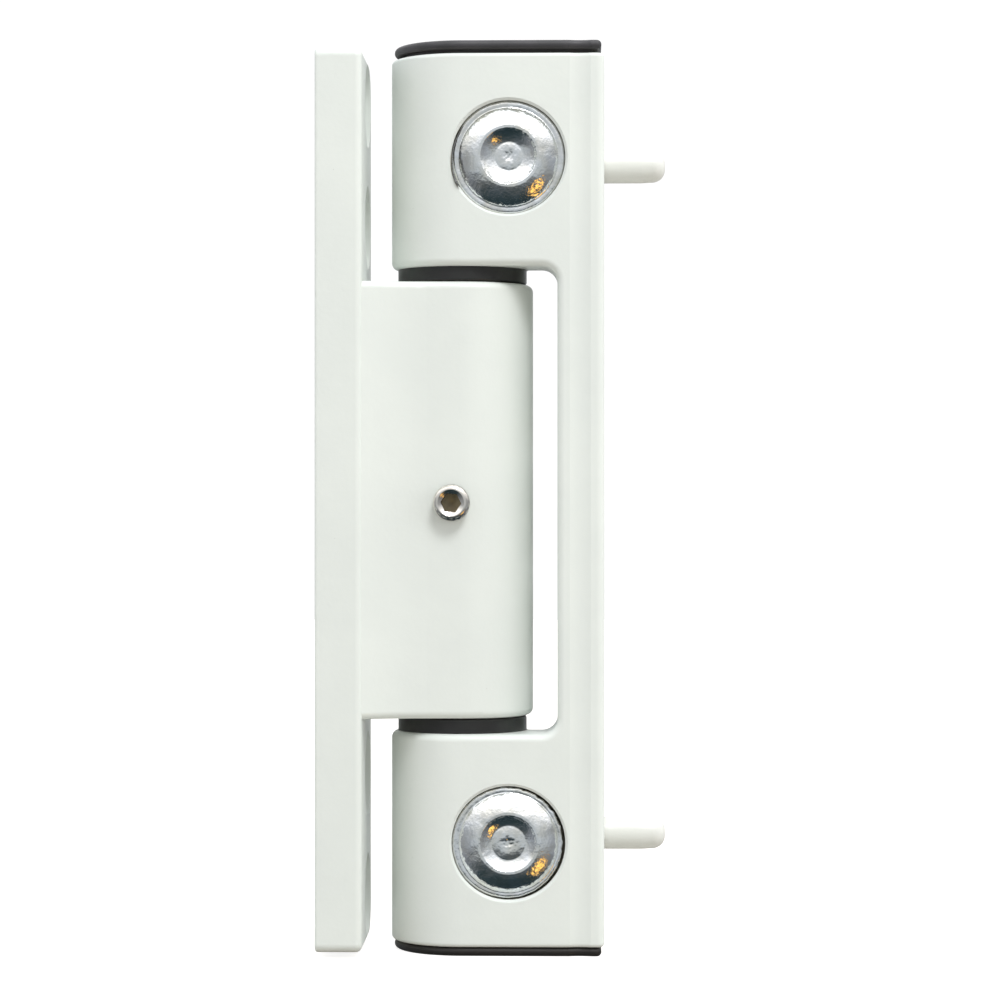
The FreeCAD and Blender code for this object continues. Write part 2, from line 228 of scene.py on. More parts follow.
# %% [markdown]
# Dust and pigment grains get trapped in a coat as it melts. Voronoi cells scatter them: each cell could
# hold one grain, and a random number per cell decides whether it does.

# %% specks group
specks, entry, leave = new_group(
    "Specks", [("Spacing mm", FLOAT, 2.0), ("Size", FLOAT, 0.06), ("Share", FLOAT, 0.2)], [("Mask", FLOAT)])
cells = specks.nodes.new("ShaderNodeTexVoronoi")
fill(specks, cells.inputs["Vector"], object_place(specks))
fill(specks, cells.inputs["Scale"], calculate(specks, "DIVIDE", 1 / MM, entry.outputs["Spacing mm"]))
near = calculate(specks, "LESS_THAN", cells.outputs["Distance"], entry.outputs["Size"])
cell_numbers = specks.nodes.new("ShaderNodeSeparateColor")
fill(specks, cell_numbers.inputs[0], cells.outputs["Color"])
chosen = calculate(specks, "LESS_THAN", cell_numbers.outputs[0], entry.outputs["Share"])
fill(specks, leave.inputs["Mask"], calculate(specks, "MULTIPLY", near, chosen))
print("made", specks.name)

# %% [markdown]
# A coat runs thin over an edge, and an edge is where plastic gets rubbed. The Bevel node gives the normal
# that a rounded edge would have, so where it differs from the true normal there is an edge.

# %% edge group
EDGE_PATCHES_PER_M = 900.0
EDGE_RAYS = 6

edges, entry, leave = new_group(
    "Edges", [("Width mm", FLOAT, 0.4), ("Breakup", FLOAT, 0.5)], [("Mask", FLOAT)])
rounded = edges.nodes.new("ShaderNodeBevel")
rounded.samples = EDGE_RAYS
fill(edges, rounded.inputs["Radius"], calculate(edges, "MULTIPLY", entry.outputs["Width mm"], MM))
true_normal = edges.nodes.new("ShaderNodeNewGeometry").outputs["Normal"]
alike = calculate_vector(edges, "DOT_PRODUCT", rounded.outputs[0], true_normal)
turned_away = spread(edges, calculate(edges, "SUBTRACT", 1.0, alike), 0.01, 0.2)
patchy = spread(edges, noise(edges, object_place(edges), EDGE_PATCHES_PER_M, detail=3.0), 0.35, 0.65)
patchy = calculate(edges, "MULTIPLY", patchy, entry.outputs["Breakup"])
kept = calculate(edges, "SUBTRACT", 1.0, patchy)
fill(edges, leave.inputs["Mask"], calculate(edges, "MULTIPLY", turned_away, kept, clamp=True))
print("made", edges.name)

# %% [markdown]
# Grey dust and a trace of grease sit where a cloth doesn't reach: in screw holes, round the studs and
# between the knuckles. Ambient occlusion finds those places. They are also where shade falls, so where
# an amount is set high the mask paints shade as well as dirt.

# %% crevice group
DIRT_PATCHES_PER_M = 450.0
SHELTER_RAYS = 6

crevices, entry, leave = new_group(
    "Crevices", [("Reach mm", FLOAT, 3.0), ("Amount", FLOAT, 0.5)], [("Mask", FLOAT)])
shelter = crevices.nodes.new("ShaderNodeAmbientOcclusion")
shelter.samples = SHELTER_RAYS
fill(crevices, shelter.inputs["Distance"], calculate(crevices, "MULTIPLY", entry.outputs["Reach mm"], MM))
closed_in = spread(crevices, calculate(crevices, "SUBTRACT", 1.0, shelter.outputs["AO"]), 0.35, 0.95)
uneven = noise(crevices, object_place(crevices), DIRT_PATCHES_PER_M, detail=4.0)
uneven = spread(crevices, uneven, 0.2, 0.8, 0.6, 1.0)
closed_in = calculate(crevices, "MULTIPLY", closed_in, uneven)
mask = calculate(crevices, "MULTIPLY", closed_in, entry.outputs["Amount"], clamp=True)
fill(crevices, leave.inputs["Mask"], mask)
print("made", crevices.name)

# %% [markdown]
# Turned and pressed parts carry fine rings. The distance from a line that runs front to back drives a
# noise, so every ring is a little different, as the marks of a tool are. The studs and the screw lie on
# such a line. The pin stands across it, and there the rings come out as the cross marks that grinding
# leaves.

# %% tool rings group
WANDER_PER_M = 700.0
WITHOUT_DEPTH = (1, 0, 1)

tool_rings, entry, leave = new_group(
    "Tool rings", [("Axis", VECTOR, (0, 0, 0)), ("Ring mm", FLOAT, 0.15), ("Wander", FLOAT, 0.1)],
    [("Height", FLOAT)])
offset = calculate_vector(tool_rings, "SUBTRACT", object_place(tool_rings), entry.outputs["Axis"])
across = calculate_vector(tool_rings, "MULTIPLY", offset, WITHOUT_DEPTH)
away = calculate_vector(tool_rings, "LENGTH", across)
ring_width = calculate(tool_rings, "MULTIPLY", entry.outputs["Ring mm"], MM)
rings_out = calculate(tool_rings, "DIVIDE", away, ring_width)
wander = noise(tool_rings, object_place(tool_rings), WANDER_PER_M)
wander = calculate(tool_rings, "MULTIPLY", wander, entry.outputs["Wander"])
ring = tool_rings.nodes.new("ShaderNodeTexNoise")
ring.noise_dimensions = "1D"
ring.inputs["Scale"].default_value = 1.0
ring.inputs["Detail"].default_value = 2.0
fill(tool_rings, ring.inputs["W"], calculate(tool_rings, "ADD", rings_out, wander))
fill(tool_rings, leave.inputs["Height"], ring.outputs[0])
print("made", tool_rings.name)

# %% [markdown]
# Every finish starts the same way: a new material, its one Principled shader, and a bump that the heights
# are sent to. The effect groups are placed in it by name, with the values of that finish.

# %% start a finish
def start_finish(title, metallic, specular=0.5):
    material = bpy.data.materials.new(title)
    material.use_nodes = True
    shader = material.node_tree.nodes["Principled BSDF"]
    shader.inputs["Metallic"].default_value = metallic
    shader.inputs["Specular IOR Level"].default_value = specular
    return material, material.node_tree, shader


def use(tree, group, settings):
    node = tree.nodes.new("ShaderNodeGroup")
    node.node_tree = group
    for name, given in settings.items():
        fill(tree, node.inputs[name], given)
    return node


def cover(tree, colour, mask, over, share=1.0):
    """Lay another colour over this one where the mask is, at a share of its strength."""
    if share < 1.0:
        mask = calculate(tree, "MULTIPLY", mask, share)
    return blend_colours(tree, mask, colour, over)


def send_roughness(tree, shader, rough, sheltered=None, dirt_adds=0.0):
    if sheltered is not None:
        rough = calculate(tree, "ADD", rough, calculate(tree, "MULTIPLY", sheltered, dirt_adds), clamp=True)
    tree.links.new(rough, shader.inputs["Roughness"])


def send_height(tree, shader, height, depth_mm):
    bump = tree.nodes.new("ShaderNodeBump")
    bump.inputs["Distance"].default_value = depth_mm * MM
    fill(tree, bump.inputs["Height"], height)
    tree.links.new(bump.outputs[0], shader.inputs["Normal"])


def give(finish, *names):
    """Put a finish on nodes of the design."""
    for name in names:
        nodes[name].material_slots[0].material = finish
    print(finish.name, "on", ", ".join(names))


print("effects ready:", ", ".join(group.name for group in bpy.data.node_groups))

# %% [markdown]
# White powder coat. It is a satin white with a touch of green, darker in the crevices with dust and with
# painted shade, and very slightly greyer where it runs thin over an edge. A thin line of yellowed grease
# follows the tightest seams, and on the leaves it is also a painted shadow under the upper cap. The same
# recipe serves the leaves and the pegs, with a finer ripple on the pegs because their surface is small.

# %% white powder coat
GREY_DUST_AND_SHADE = (0.42, 0.41, 0.37, 1)
YELLOWED_GREASE_AND_SHADE = (0.30, 0.28, 0.20, 1)
GRAIN_GREY = (0.45, 0.44, 0.41, 1)
THIN_GREY = (0.66, 0.68, 0.70, 1)
SATIN_ROUGH, SATIN_SMOOTH = 0.40, 0.33


def powder_coat(title, light, shade, ripple_mm, dust_and_shade, seam_grime_and_shade):
    material, tree, shader = start_finish(title, metallic=0.0)
    tone = use(tree, tone_drift, {"Light": light, "Shade": shade, "Patch mm": 14.0})
    grains = use(tree, specks, {"Spacing mm": 2.6, "Size": 0.028, "Share": 0.16})
    thin = use(tree, edges, {"Width mm": 0.35, "Breakup": 0.6})
    sheltered = use(tree, crevices, {"Reach mm": 2.5, "Amount": dust_and_shade})
    seam = use(tree, crevices, {"Reach mm": 1.1, "Amount": seam_grime_and_shade})
    colour = cover(tree, tone.outputs["Colour"], grains.outputs["Mask"], GRAIN_GREY, share=0.35)
    colour = cover(tree, colour, thin.outputs["Mask"], THIN_GREY, share=0.10)
    # Where the dust amount is high, as on the leaves, this grey is painted shade as well as dust: the contact
    # shade under the clamp screw, round the countersinks and along the seams.
    colour = cover(tree, colour, sheltered.outputs["Mask"], GREY_DUST_AND_SHADE)
    # This yellowed line is partly grease and partly painted shadow, which darkens the paint under the upper
    # cap.
    colour = cover(tree, colour, seam.outputs["Mask"], YELLOWED_GREASE_AND_SHADE)
    tree.links.new(colour, shader.inputs["Base Color"])
    rough = spread(tree, tone.outputs["Drift"], 0.0, 1.0, SATIN_ROUGH, SATIN_SMOOTH)
    send_roughness(tree, shader, rough, sheltered.outputs["Mask"], dirt_adds=0.3)
    peel = use(tree, orange_peel, {"Ripple mm": ripple_mm, "Fine share": 0.3})
    send_height(tree, shader, peel.outputs["Height"], depth_mm=0.03)
    return material


# The leaves' dust and seam amounts are set high to paint the contact shade under the clamp screw and the
# shadow under the upper cap.
leaf_coat = powder_coat("white_powder_coat", light=(0.80, 0.84, 0.80, 1), shade=(0.765, 0.805, 0.77, 1),
                        ripple_mm=1.5, dust_and_shade=0.80, seam_grime_and_shade=1.6)
peg_coat = powder_coat("white_peg_coat", light=(0.80, 0.81, 0.77, 1), shade=(0.76, 0.77, 0.73, 1),
                       ripple_mm=0.9, dust_and_shade=0.4, seam_grime_and_shade=0.3)
give(leaf_coat, "frame_leaf", "sash_leaf")
give(peg_coat, "upper_locating_peg", "lower_locating_peg")

# %% [markdown]
# Black plastics. The caps are moulded, with the fine even texture of a spark-eroded mould. They are a lit
# and a shaded copy of one plastic: the upper one is lighter and greyer with dust, and the lower one is
# darker and warmer, a painted shade with the floor's warm bounce. The bushes are turned from acetal,
# which is smoother and a little waxy.

# %% black plastics
RUBBED_GREY = (0.11, 0.11, 0.115, 1)
CORNER_DUST = (0.10, 0.095, 0.085, 1)
PLASTIC_DRIFT = 0.05


def black_plastic(title, light, shade, grain_mm, depth_mm, roughness):
    material, tree, shader = start_finish(title, metallic=0.0, specular=0.4)
    tone = use(tree, tone_drift, {"Light": light, "Shade": shade, "Patch mm": 5.0})
    rubbed = use(tree, edges, {"Width mm": 0.25, "Breakup": 0.7})
    sheltered = use(tree, crevices, {"Reach mm": 1.5, "Amount": 0.3})
    colour = cover(tree, tone.outputs["Colour"], rubbed.outputs["Mask"], RUBBED_GREY, share=0.35)
    colour = cover(tree, colour, sheltered.outputs["Mask"], CORNER_DUST)
    tree.links.new(colour, shader.inputs["Base Color"])
    duller, shinier = roughness + PLASTIC_DRIFT, roughness - PLASTIC_DRIFT
    rough = spread(tree, tone.outputs["Drift"], 0.0, 1.0, duller, shinier)
    send_roughness(tree, shader, rough)
    grain = use(tree, orange_peel, {"Ripple mm": grain_mm, "Fine share": 0.6})
    send_height(tree, shader, grain.outputs["Height"], depth_mm)
    return material


# The two caps are a lit and a shaded copy: the lower cap's darker, warmer tone is painted shade and painted
# warm bounce from the floor.
dusty_lit_cap = black_plastic("moulded_cap_dusty_lit", light=(0.062, 0.060, 0.066, 1), shade=(0.042, 0.042, 0.045, 1),
                          grain_mm=0.22, depth_mm=0.02, roughness=0.50)
shaded_warm_cap = black_plastic("moulded_cap_shaded_warm", light=(0.021, 0.018, 0.016, 1), shade=(0.014, 0.012, 0.011, 1),
                          grain_mm=0.22, depth_mm=0.02, roughness=0.46)
acetal = black_plastic("acetal_bush", light=(0.024, 0.025, 0.024, 1), shade=(0.016, 0.016, 0.016, 1),
                       grain_mm=0.6, depth_mm=0.008, roughness=0.34)
give(dusty_lit_cap, "upper_end_cap")
give(shaded_warm_cap, "lower_end_cap")
give(acetal, "upper_flanged_bush", "lower_flanged_bush", "upper_end_bush", "lower_end_bush")

# %% [markdown]
# Every bare metal on the hinge is the same recipe: two close tones, tool rings, shallow dents, and a stain
# in the corners that also dulls it. The rings and the dents each have a size and a depth in millimetres.

# %% recipe for bare metal
RING_SHINE, RING_DULL = 0.04, 0.05


def bare_metal(title, light, shade, axis, rings, dents, roughness, stain, stain_amount, reach_mm):
    material, tree, shader = start_finish(title, metallic=1.0)
    tone = use(tree, tone_drift, {"Light": light, "Shade": shade, "Patch mm": 2.2})
    ring_mm, ring_depth = rings
    ringed = use(tree, tool_rings, {"Axis": axis, "Ring mm": ring_mm, "Wander": 0.5}).outputs["Height"]
    dent_mm, dent_depth = dents
    dented = use(tree, orange_peel, {"Ripple mm": dent_mm, "Fine share": 0.35}).outputs["Height"]
    sheltered = use(tree, crevices, {"Reach mm": reach_mm, "Amount": stain_amount}).outputs["Mask"]
    tree.links.new(cover(tree, tone.outputs["Colour"], sheltered, stain), shader.inputs["Base Color"])
    rough = spread(tree, ringed, 0.3, 0.7, roughness - RING_SHINE, roughness + RING_DULL)
    send_roughness(tree, shader, rough, sheltered, dirt_adds=0.35)
    height = calculate(tree, "ADD", calculate(tree, "MULTIPLY", ringed, ring_depth),
                       calculate(tree, "MULTIPLY", dented, dent_depth))
    send_height(tree, shader, height, depth_mm=1.0)
    return material


def centre_of(node):
    low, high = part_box(node)
    return (low + high) / 2


stud_centres = {end: centre_of(end + "_dished_stud") for end in ENDS}
for end in ENDS:
    print(end, "stud centre:", [round(value / MM, 2) for value in stud_centres[end]])

# %% [markdown]
# Zinc plate is bright and slightly blue, with a faint yellow cast in patches from the chromate bath. The
# clamp screw is stainless and warmer, and its socket is brown with old oil. The pin is ground steel and the
# pad is brass. Steel that the press has torn is darker, because no plate covers it, and its dark grey is
# also painted shade, which outlines the curl against the white coat.

# %% bare metals
OILY_BROWN = (0.07, 0.055, 0.04, 1)
WORN_GREY = (0.30, 0.29, 0.27, 1)

zinc = {end: bare_metal("zinc_plate_" + end, light=(0.84, 0.87, 0.90, 1), shade=(0.74, 0.74, 0.70, 1),
                        axis=stud_centres[end], rings=(0.16, 0.002), dents=(1.10, 0.075), roughness=0.13,
                        stain=WORN_GREY, stain_amount=0.20, reach_mm=0.8) for end in ENDS}
stainless = bare_metal("stainless_screw", light=(0.80, 0.77, 0.72, 1), shade=(0.70, 0.67, 0.62, 1),
                       axis=screw_axis, rings=(0.12, 0.003), dents=(0.7, 0.010), roughness=0.17,
                       stain=OILY_BROWN, stain_amount=0.5, reach_mm=0.7)
oiled_socket = bare_metal("oiled_socket", light=(0.38, 0.32, 0.21, 1), shade=(0.25, 0.21, 0.14, 1),
                          axis=screw_axis, rings=(0.14, 0.006), dents=(0.5, 0.020), roughness=0.46,
                          stain=OILY_BROWN, stain_amount=0.3, reach_mm=1.2)
ground_steel = bare_metal("ground_pin", light=(0.60, 0.60, 0.59, 1), shade=(0.50, 0.50, 0.49, 1),
                          axis=pin, rings=(0.20, 0.003), dents=(1.0, 0.003), roughness=0.24,
                          stain=OILY_BROWN, stain_amount=0.4, reach_mm=1.5)
brass = bare_metal("brass_pad", light=(0.80, 0.62, 0.30, 1), shade=(0.70, 0.52, 0.24, 1),
                   axis=screw_axis, rings=(0.15, 0.004), dents=(1.0, 0.004), roughness=0.25,
                   stain=OILY_BROWN, stain_amount=0.4, reach_mm=1.0)
# The dark grey of the curl is partly bare steel and partly painted shade along its edges.
torn_steel_shade = bare_metal("torn_steel_shade", light=(0.30, 0.30, 0.30, 1), shade=(0.17, 0.17, 0.17, 1),
                        axis=pin, rings=(0.20, 0.003), dents=(0.5, 0.020), roughness=0.30,
                        stain=OILY_BROWN, stain_amount=0.4, reach_mm=0.5)
give(ground_steel, "hinge_pin")
give(brass, "pressure_pad")

# %% [markdown]
# The studs and the clamp screw are made again as finer meshes, because their reflections show every facet.
# Both are skins of rings, and so is the curl of torn metal on a stud: each ring has the same number of
# points, so neighbouring rings join with plain quads.

# %% from rings to a piece
def ring_point(axis_point, radius, depth, angle):
    """Radius and depth in millimetres. Depth runs along +Y, and the angle turns from +X towards +Z."""
    radius, depth = radius * MM, depth * MM
    return axis_point + Vector((radius * math.cos(angle), depth, radius * math.sin(angle)))


def join_loops(mesh, near_loop, far_loop, material_index=0):
    for index, (near_point, far_point) in enumerate(zip(near_loop, far_loop)):
        after = (index + 1) % len(near_loop)
        face = mesh.faces.new((near_point, near_loop[after], far_loop[after], far_point))
        face.material_index = material_index


def close_with_fan(mesh, loop, material_index):
    middle = mesh.verts.new(sum((v.co for v in loop), Vector()) / len(loop))
    for index, point in enumerate(loop):
        face = mesh.faces.new((middle, point, loop[(index + 1) % len(loop)]))
        face.material_index = material_index


def object_of(name, mesh, materials):
    data = bpy.data.meshes.new(name)
    mesh.to_mesh(data)
    mesh.free()
    for material in materials:
        data.materials.append(material)
    piece = bpy.data.objects.new(name, data)
    bpy.context.scene.collection.objects.link(piece)
    print(name, len(data.polygons), "faces")
    return piece


print("a ring point one millimetre out:", [round(value, 5) for value in ring_point(pin, 1.0, 0.0, 0.0)])

# %% [markdown]
# A ring can follow any radius and any depth, which lets one helper make a lathed stud, a threaded screw and
# a hexagon socket. The first rings can take a second material, as the socket of the screw does.

# %% ring skins
SHARP_FROM = math.radians(38)


def skin_of_rings(name, rings, sides, axis_point, materials, inner_rings=0):
    """Each ring is (radius of angle, depth of angle). Both ends close in a point."""
    mesh = bmesh.new()
    angles = [2 * math.pi * index / sides for index in range(sides)]
    loops = [[mesh.verts.new(ring_point(axis_point, radius_at(angle), depth_at(angle), angle))
              for angle in angles] for radius_at, depth_at in rings]
    for row, (near_loop, far_loop) in enumerate(zip(loops, loops[1:])):
        join_loops(mesh, near_loop, far_loop, material_index=int(row < inner_rings))
    close_with_fan(mesh, loops[0], material_index=int(inner_rings > 0))
    close_with_fan(mesh, loops[-1], material_index=0)
    bmesh.ops.recalc_face_normals(mesh, faces=mesh.faces)
    piece = object_of(name, mesh, materials)
    piece.data.shade_smooth()
    piece.data.set_sharp_from_angle(angle=SHARP_FROM)
    return piece


def steady(value):
    return lambda angle: value


print("an edge is sharp from", round(math.degrees(SHARP_FROM)), "degrees")

# %% [markdown]
# A stud is pressed from steel: a rolled rim, a domed ring, a small lip and a dish with a centre boss. Its
# shape is easiest to tell by how far the surface leans at each radius, because that is what a mirror-bright
# part shows. The leans are added up from the lip, in both directions, to get the outline. Each pair is a
# radius in millimetres and a lean in degrees.

# %% outline of a dished stud
LIP_R = 4.10
INWARD_LEANS = {
    "upper": [(LIP_R, 0), (3.94, 0), (3.88, -40), (3.78, -43), (3.00, -29), (2.10, -19), (1.98, -12),
              (1.90, 12), (1.70, 10), (1.30, 6), (0.90, -2), (0.60, -12), (0.25, -5), (0.0, 0)],
    "lower": [(LIP_R, 0), (3.94, 0), (3.88, -38), (3.78, -42), (3.20, -28), (2.55, -20), (2.42, -12),
              (2.32, 14), (2.05, 11), (1.50, 7), (1.00, -2), (0.60, -12), (0.25, -5), (0.0, 0)]}
OUTWARD_LEANS = [(LIP_R, 0), (4.24, 0), (4.30, 15), (5.20, 23), (6.20, 32), (6.80, 37), (6.92, 26),
                 (7.00, -2), (7.08, -14), (7.20, -2), (7.36, 18), (7.48, 30), (7.55, 40)]
RIM_R = OUTWARD_LEANS[-1][0]
HEAD_UNDER, STEM_R, EDGE_CUT = 4.05, 2.4, 0.4
LEAN_STEP = 0.04
SMALLEST_R = 0.02


def lean_at(leans, radius):
    for (r_from, lean_from), (r_to, lean_to) in zip(leans, leans[1:]):
        if min(r_from, r_to) <= radius <= max(r_from, r_to):
            share = (radius - r_from) / (r_to - r_from)
            return math.radians(lean_from + share * (lean_to - lean_from))
    return 0.0


def follow_leans(leans):
    """Walk from the lip to the last radius and add up the depth on the way."""
    span = leans[-1][0] - LIP_R
    steps = round(abs(span) / LEAN_STEP)
    depth, points = 0.0, []
    for step in range(1, steps + 1):
        radius = LIP_R + span * step / steps
        depth += span / steps * math.tan(lean_at(leans, radius - 0.5 * span / steps))
        points.append((max(radius, SMALLEST_R), depth))
    return points


def stud_outline(end, length):
    """Radius and depth from the middle of the dish, over the rim and down the stem."""
    dish = list(reversed(follow_leans(INWARD_LEANS[end])))
    underside = [(RIM_R, HEAD_UNDER - EDGE_CUT), (RIM_R - EDGE_CUT, HEAD_UNDER), (STEM_R, HEAD_UNDER)]
    stem = [(STEM_R, length - EDGE_CUT), (STEM_R - EDGE_CUT, length)]
    return dish + [(LIP_R, 0.0)] + follow_leans(OUTWARD_LEANS) + underside + stem


print("rim lies", round(follow_leans(OUTWARD_LEANS)[-1][1], 2), "mm behind the lip")

# %% [markdown]
# The press leaves a stud a little uneven. Its rim is wider on one side and nicked, the lip is dinged
# towards the upper right, and the dish sits off centre. Each ring gets its share of those faults by how
# near it is to the rim or the lip. The rim always stays inside its counterbore.

# %% faults of a pressed stud
BORE_CLEAR_R = 7.85
RIM_FROM = 6.92
LIP_REACH = 0.25
LIP_BEHIND, DISH_BEHIND, RIM_BEHIND = 1.0, 2.5, 3.0
DINGED_SIDE = math.radians(40)
LIP_DINGS_ALL_ROUND, RIM_NICKS_ALL_ROUND = 0.15, 0.3
NICK_WAVES = [(23, 1, 1.0), (41, 2, 0.7), (67, 0, 0.5)]
# Lengths in millimetres.
FAULTS = {"upper": dict(growth=0.26, lean=0.02, nicks=0.012, lip=0.055, shift_x=0.08, shift_z=0.20),
          "lower": dict(growth=0.10, lean=0.17, nicks=0.045, lip=0.030, shift_x=0.02, shift_z=0.0)}


def nicked(angle):
    return sum(strength * math.sin(count * angle + phase) for count, phase, strength in NICK_WAVES)


def uneven_r(faults, radius, depth, angle):
    """Radius of one point of the head, with the stud's own faults."""
    dinged = max(0.0, math.cos(angle - DINGED_SIDE)) ** 2
    at_lip = math.exp(-((radius - LIP_R) / LIP_REACH) ** 2) if depth < LIP_BEHIND else 0.0
    grown = radius + faults["lip"] * at_lip * nicked(angle) * (LIP_DINGS_ALL_ROUND + dinged)
    if depth < RIM_BEHIND and radius > RIM_FROM:
        growth = faults["growth"] - faults["lean"] * math.cos(angle)
        growth += faults["nicks"] * nicked(angle) * (RIM_NICKS_ALL_ROUND + dinged)
        grown += growth * (radius - RIM_FROM) / (RIM_R - RIM_FROM)
    return min(grown, BORE_CLEAR_R)


print("nicks are", len(NICK_WAVES), "waves round the rim")

# %% [markdown]
# A press also marks the face. Broad shallow dents lie all over it and rough little ones on the centre boss.
# They are moved points and not a bump, so that the mesh itself carries them. The dish is moved off centre
# in the same step.

# %% dished studs
STUD_SIDES = 288
BROAD_DENT, BROAD_DENT_WIDTH, BROAD_DENT_FILL = 0.055, 1.9, 0.35
ROUGH_DENT, ROUGH_DENT_WIDTH, ROUGH_DENT_FILL = 0.085, 0.42, 0.5
BOSS_R = 1.7


def press_marks(place, radius):
    """Depth in millimetres of the dents at this place of the head."""
    broad = noise_field.noise(place / (BROAD_DENT_WIDTH * MM)) + BROAD_DENT_FILL
    rough = noise_field.noise(place / (ROUGH_DENT_WIDTH * MM)) + ROUGH_DENT_FILL
    return BROAD_DENT * max(0.0, broad) + max(0.0, ROUGH_DENT * max(0.0, 1 - radius / BOSS_R) * rough)


def mark_face(stud, axis_point, shift):
    for vertex in stud.data.vertices:
        away = vertex.co - axis_point
        radius, depth = math.hypot(away.x, away.z) / MM, away.y / MM
        if depth < DISH_BEHIND:
            vertex.co += shift * max(0.0, 1 - radius / RIM_FROM) * MM
            vertex.co.y += press_marks(vertex.co, radius) * MM


def make_stud(end):
    low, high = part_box(end + "_dished_stud")
    faults = FAULTS[end]
    rings = [(lambda angle, r=radius, d=depth: uneven_r(faults, r, d, angle), steady(depth))
             for radius, depth in stud_outline(end, length=(high.y - low.y) / MM)]
    axis_point = Vector((stud_centres[end].x, low.y, stud_centres[end].z))
    stud = skin_of_rings(end + "_stud_pressed", rings, STUD_SIDES, axis_point, [zinc[end]])
    mark_face(stud, axis_point, Vector((faults["shift_x"], 0, faults["shift_z"])))
    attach(stud, "sash_side")
    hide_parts(end + "_dished_stud")
    return axis_point


stud_axis = {end: make_stud(end) for end in ENDS}

# %% [markdown]
# On the upper stud the press has pulled a thin curl of metal off the left of the rim. It lifts away as it
# goes down, leaves the counterbore and ends in a burr. It is a flat wire: an oval section carried along the
# rim, which thickens towards the burr and narrows at both tips.

# %% the curl on the upper stud
CURL_FROM, CURL_TO = math.radians(140), math.radians(212)
CURL_R, CURL_SPREAD = 7.62, 0.52
CURL_DEPTH, CURL_LIFT = 1.55, 1.15
CURL_THICK, CURL_WIDE = 0.085, 0.26
HOOK_IN, HOOK_SHARE = 0.22, 0.1
START_SIZE, START_GROWTH = 0.2, 8
TIP_SIZE, TIP_GROWTH = 0.3, 9
THIN, THICKER = 0.8, 0.9
CURL_STATIONS, CURL_SIDES = 64, 12


def curl_section(share):
    """Centre radius, depth and size of the wire at this share of its length."""
    start_taper = min(1.0, START_GROWTH * share + START_SIZE)
    tip_taper = min(1.0, TIP_GROWTH * (1 - share) + TIP_SIZE)
    swelling = THIN + THICKER * share ** 3
    hook = HOOK_IN * max(0.0, share - (1 - HOOK_SHARE)) / HOOK_SHARE
    radius = CURL_R + CURL_SPREAD * share ** 2 - hook
    return radius, CURL_DEPTH - CURL_LIFT * share ** 0.8, start_taper * tip_taper * swelling


def curl_loop(mesh, axis_point, share):
    angle = CURL_FROM + share * (CURL_TO - CURL_FROM)
    radius, depth, size = curl_section(share)
    turns = [2 * math.pi * side / CURL_SIDES for side in range(CURL_SIDES)]
    return [mesh.verts.new(ring_point(axis_point, radius + CURL_THICK * size * math.cos(turn),
                                      depth + CURL_WIDE * size * math.sin(turn), angle)) for turn in turns]


def make_curl(axis_point):
    mesh = bmesh.new()
    loops = [curl_loop(mesh, axis_point, station / CURL_STATIONS) for station in range(CURL_STATIONS + 1)]
    for near_loop, far_loop in zip(loops, loops[1:]):
        join_loops(mesh, near_loop, far_loop)
    mesh.faces.new(loops[0])
    mesh.faces.new(loops[-1])
    bmesh.ops.recalc_face_normals(mesh, faces=mesh.faces)
    curl = object_of("upper_stud_curl", mesh, [torn_steel_shade])
    curl.data.shade_smooth()
    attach(curl, "sash_side")


make_curl(stud_axis["upper"])

# %% [markdown]
# The clamp screw is a standard socket set screw. Its thread is one helix: the radius falls and rises once
# per pitch along the screw, and the whole pattern is turned by the angle, which is what makes rings into a
# helix. The thread is cut into the full diameter, and both ends of the screw are rounded.

# %% thread of the clamp screw
PITCH, THREAD_DEPTH, END_ROUND = 0.8, 0.32, 0.66
ROOT_HALF, FLANK = 0.10, 0.32


def thread_r(angle, depth, screw_r, length):
    """ROOT_HALF and FLANK are shares of one pitch, from the middle of the groove outwards."""
    along = (depth / PITCH - angle / (2 * math.pi)) % 1.0
    flank = min(1.0, max(0.0, (abs(along - 0.5) - ROOT_HALF) / FLANK))
    cut = THREAD_DEPTH * (1 - flank)
    from_end = min(depth, length - depth, END_ROUND)
    rounded = END_ROUND * (1 - math.sqrt(1 - (1 - from_end / END_ROUND) ** 2))
    return min(screw_r - cut, screw_r - rounded)


print("thread pitch", PITCH, "mm")

# %% [markdown]
# The socket is a hexagon whose mouth is cut by a cone, so each ring takes whichever of the two is wider. It
# ends in the cone that the drill leaves.

# %% clamp screw
HEX_FLATS, HEX_DEPTH, HEX_TURN = 2.5, 2.6, math.radians(-5)
DRILL_POINT = 0.7
MOUTH_R, MOUTH_LEAN, MOUTH_STEPS = 1.84, math.radians(31), 14
SCREW_SIDES, THREAD_STEP, END_CLEAR = 192, 0.05, 0.004


def hexagon_r(angle):
    from_flat = (angle - HEX_TURN) % math.radians(60) - math.radians(30)
    return HEX_FLATS / 2 / math.cos(from_flat)


def socket_rings():
    floor_rings = [(steady(SMALLEST_R), steady(HEX_DEPTH + DRILL_POINT)),
                   (steady(HEX_FLATS / 2), steady(HEX_DEPTH)), (hexagon_r, steady(HEX_DEPTH))]
    mouth_depth = (MOUTH_R - HEX_FLATS / 2) * math.tan(MOUTH_LEAN)
    mouth_rings = []
    for step in range(MOUTH_STEPS, -1, -1):
        depth = mouth_depth * step / MOUTH_STEPS
        cone_r = MOUTH_R - depth / math.tan(MOUTH_LEAN)
        mouth_rings.append((lambda angle, r=cone_r: max(hexagon_r(angle), r), steady(depth)))
    return floor_rings, mouth_rings


def thread_rings(screw_r, length):
    stations = int(length / THREAD_STEP)
    for station in range(stations + 1):
        depth = max(END_CLEAR, min(length - END_CLEAR, length * station / stations))
        yield (lambda angle, d=depth: thread_r(angle, d, screw_r, length)), steady(depth)


